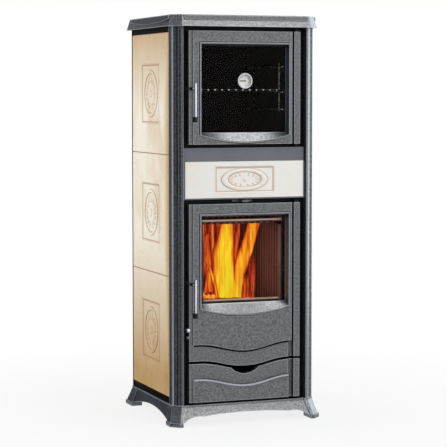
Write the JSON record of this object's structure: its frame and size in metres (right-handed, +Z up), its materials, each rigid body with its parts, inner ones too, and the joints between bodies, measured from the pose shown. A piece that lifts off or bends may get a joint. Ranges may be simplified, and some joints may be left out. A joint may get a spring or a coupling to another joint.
{
  "type": "wood cookstove",
  "caption": "Tall wood cookstove: glazed oven door over a glazed fire door, storage drawer below, tiled sides, cast top and feet, turning lever handles and a rear flue collar.",
  "frame": {"origin": "on the floor under the middle of the stove's box", "axes": "+Z up, the doors face -Y, +X to the right seen from the front"},
  "size_m": [0.5232, 0.534, 1.32],
  "materials": {
    "cast_iron": "fine sand-cast speckle, dark anthracite paint",
    "grey_band": "smooth satin grey",
    "black_steel": "satin black",
    "glazed_tile": "mottled cream glaze",
    "pale_tile": "pale cream glaze",
    "door_glass": "clear ceramic glass",
    "chrome": "polished",
    "dark_steel": "plain dull",
    "black_tip": "glossy black",
    "needle_black": "matt black",
    "rope_seal": "braided glass rope",
    "oven_enamel": "dark enamel",
    "fire_iron": "heat-browned rough casting",
    "pan_steel": "dull galvanised"
  },
  "bodies": {
    "stove_body": {"air_wash_bar": "fire_iron", "ash_shelf": "black_steel", "back_lining": "fire_iron", "base_skirts": "cast_iron", "bottom_plate": "black_steel", "firebox_shell": "fire_iron", "flue_collar": "dark_steel", "foot_front_left": "cast_iron", "foot_front_right": "cast_iron", "foot_rear_left": "cast_iron", "foot_rear_right": "cast_iron", "front_frame": "black_steel", "front_left_post": "cast_iron", "front_right_post": "cast_iron", "front_tile": "pale_tile", "hinge_brackets": "black_steel", "hinge_pins": "chrome", "left_inner_panel": "black_steel", "left_lining": "fire_iron", "left_tile_lower": "glazed_tile", "left_tile_middle": "glazed_tile", "left_tile_upper": "glazed_tile", "log_guard": "fire_iron", "oven_liner": "oven_enamel", "rack_rails": "chrome", "rear_left_post": "black_steel", "rear_panel": "black_steel", "rear_right_post": "black_steel", "right_inner_panel": "black_steel", "right_lining": "fire_iron", "right_tile_lower": "glazed_tile", "right_tile_middle": "glazed_tile", "right_tile_upper": "glazed_tile", "smoke_baffle": "fire_iron", "tile_tray": "grey_band", "top_plate": "cast_iron"},
    "oven_door": {"oven_door_frame": "cast_iron", "oven_door_glass": "door_glass", "oven_glass_clips": "dark_steel", "oven_door_rope": "rope_seal", "thermometer_case": "chrome"},
    "dial_needle": {"thermometer_needle": "needle_black"},
    "oven_handle": {"oven_handle_lever": "chrome", "oven_handle_tip": "black_tip", "oven_handle_latch": "dark_steel"},
    "fire_door": {"fire_door_frame": "cast_iron", "fire_door_glass": "door_glass", "fire_glass_clips": "dark_steel", "fire_door_rope": "rope_seal"},
    "fire_handle": {"fire_handle_lever": "chrome", "fire_handle_tip": "black_tip", "fire_handle_latch": "dark_steel"},
    "drawer": {"drawer_front": "cast_iron", "drawer_box": "black_steel"},
    "rack": {"oven_rack": "chrome"},
    "ash_pan": {"ash_pan": "pan_steel"},
    "shaking_grate": {"fire_grate": "fire_iron", "grate_rod": "dark_steel"},
    "primary_air": {"primary_air_rod": "chrome"},
    "secondary_air": {"secondary_air_lever": "dark_steel"}
  },
  "joints": [
    {"name": "oven_door_hinge", "type": "hinge", "parent": "stove_body", "child": "oven_door", "pos_m": [0.182, -0.207, 1.088], "axis": [0, 0, 1], "range_deg": [0, 110]},
    {"name": "oven_handle_turn", "type": "hinge", "parent": "oven_door", "child": "oven_handle", "pos_m": [-0.186, -0.222, 1.085], "axis": [0, -1, 0], "range_deg": [0, 90]},
    {"name": "dial_needle_turn", "type": "hinge", "parent": "oven_door", "child": "dial_needle", "pos_m": [0, -0.208, 1.11], "axis": [0, 1, 0], "range_deg": [0, 250]},
    {"name": "fire_door_hinge", "type": "hinge", "parent": "stove_body", "child": "fire_door", "pos_m": [0.182, -0.207, 0.46], "axis": [0, 0, 1], "range_deg": [0, 110]},
    {"name": "fire_handle_turn", "type": "hinge", "parent": "fire_door", "child": "fire_handle", "pos_m": [-0.186, -0.222, 0.459], "axis": [0, -1, 0], "range_deg": [0, 90]},
    {"name": "drawer_slide", "type": "slide", "parent": "stove_body", "child": "drawer", "axis": [0, -1, 0], "range_m": [0, 0.26]},
    {"name": "oven_rack_slide", "type": "slide", "parent": "stove_body", "child": "rack", "axis": [0, -1, 0], "range_m": [0, 0.02]},
    {"name": "ash_pan_slide", "type": "slide", "parent": "stove_body", "child": "ash_pan", "axis": [0, -1, 0], "range_m": [0, 0.03]},
    {"name": "grate_shake", "type": "slide", "parent": "stove_body", "child": "shaking_grate", "axis": [0, -1, 0], "range_m": [0, 0.015]},
    {"name": "primary_air_pull", "type": "slide", "parent": "stove_body", "child": "primary_air", "axis": [0, -1, 0], "range_m": [0, 0.025]},
    {"name": "secondary_air_slide", "type": "slide", "parent": "stove_body", "child": "secondary_air", "axis": [1, 0, 0], "range_m": [-0.025, 0.025]}
  ]
}
